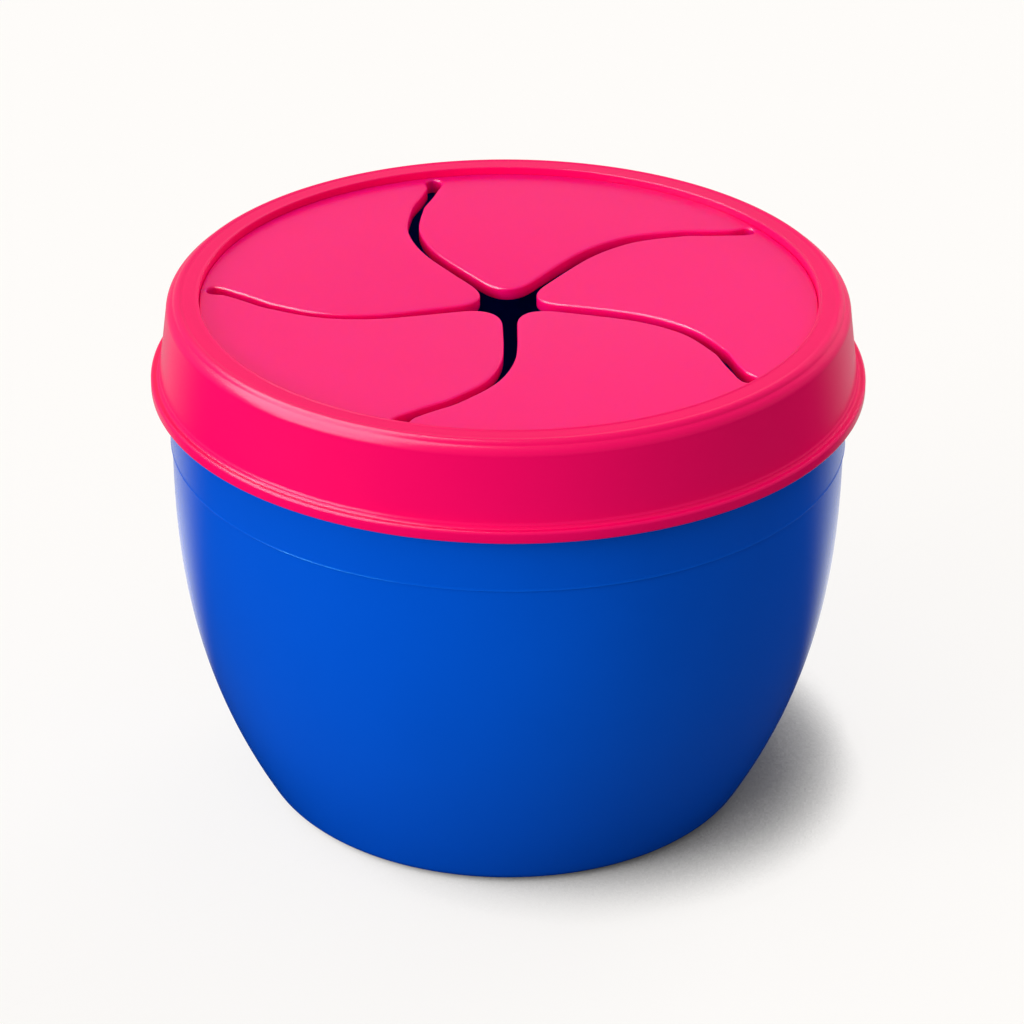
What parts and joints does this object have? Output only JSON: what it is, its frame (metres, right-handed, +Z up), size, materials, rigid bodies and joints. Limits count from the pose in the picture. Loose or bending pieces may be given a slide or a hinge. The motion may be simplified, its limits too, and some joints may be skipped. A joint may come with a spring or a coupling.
{
  "type": "snack cup",
  "caption": "Round snack cup with a bowl-shaped wall and a lift-off lid whose soft top is slit into curved flaps for a toddler's hand.",
  "frame": {"origin": "centre of the foot's underside, on the surface that the cup stands on", "axes": "+Z up along the cup's axis; +X to the viewer's right and +Y away from the viewer in the usual front view"},
  "size_m": [0.1, 0.1, 0.0753],
  "materials": {
    "cup_plastic": "smooth moulded polypropylene, satin gloss, deep blue",
    "ring_plastic": "smooth moulded polypropylene, satin gloss, hot pink",
    "soft_top": "soft thermoplastic elastomer, fine matte skin, hot pink"
  },
  "bodies": {
    "cup": {"cup": "cup_plastic"},
    "lid": {"lid_ring": "ring_plastic", "flap_rim": "soft_top"},
    "flap_1": {"flap_1": "soft_top"},
    "flap_2": {"flap_2": "soft_top"},
    "flap_3": {"flap_3": "soft_top"},
    "flap_4": {"flap_4": "soft_top"},
    "flap_5": {"flap_5": "soft_top"}
  },
  "joints": [
    {"name": "lid_lift", "type": "slide", "parent": "cup", "child": "lid", "axis": [0, 0, 1], "range_m": [0, 0.035]},
    {"name": "flap_1_bend", "type": "hinge", "parent": "lid", "child": "flap_1", "pos_m": [0.01179, 0.0317, 0.0742], "axis": [-0.9373, 0.3486, 0], "range_deg": [-70, 35], "stiffness_Nm_per_rad": 0.04},
    {"name": "flap_2_bend", "type": "hinge", "parent": "lid", "child": "flap_2", "pos_m": [-0.0265, 0.021, 0.0742], "axis": [-0.6211, -0.7837, 0], "range_deg": [-70, 35], "stiffness_Nm_per_rad": 0.04},
    {"name": "flap_3_bend", "type": "hinge", "parent": "lid", "child": "flap_3", "pos_m": [-0.02817, -0.01871, 0.0742], "axis": [0.5534, -0.8329, 0], "range_deg": [-70, 35], "stiffness_Nm_per_rad": 0.04},
    {"name": "flap_4_bend", "type": "hinge", "parent": "lid", "child": "flap_4", "pos_m": [0.00909, -0.03257, 0.0742], "axis": [0.9632, 0.2689, 0], "range_deg": [-70, 35], "stiffness_Nm_per_rad": 0.04},
    {"name": "flap_5_bend", "type": "hinge", "parent": "lid", "child": "flap_5", "pos_m": [0.03379, -0.00142, 0.0742], "axis": [0.0419, 0.9991, 0], "range_deg": [-70, 35], "stiffness_Nm_per_rad": 0.04}
  ]
}
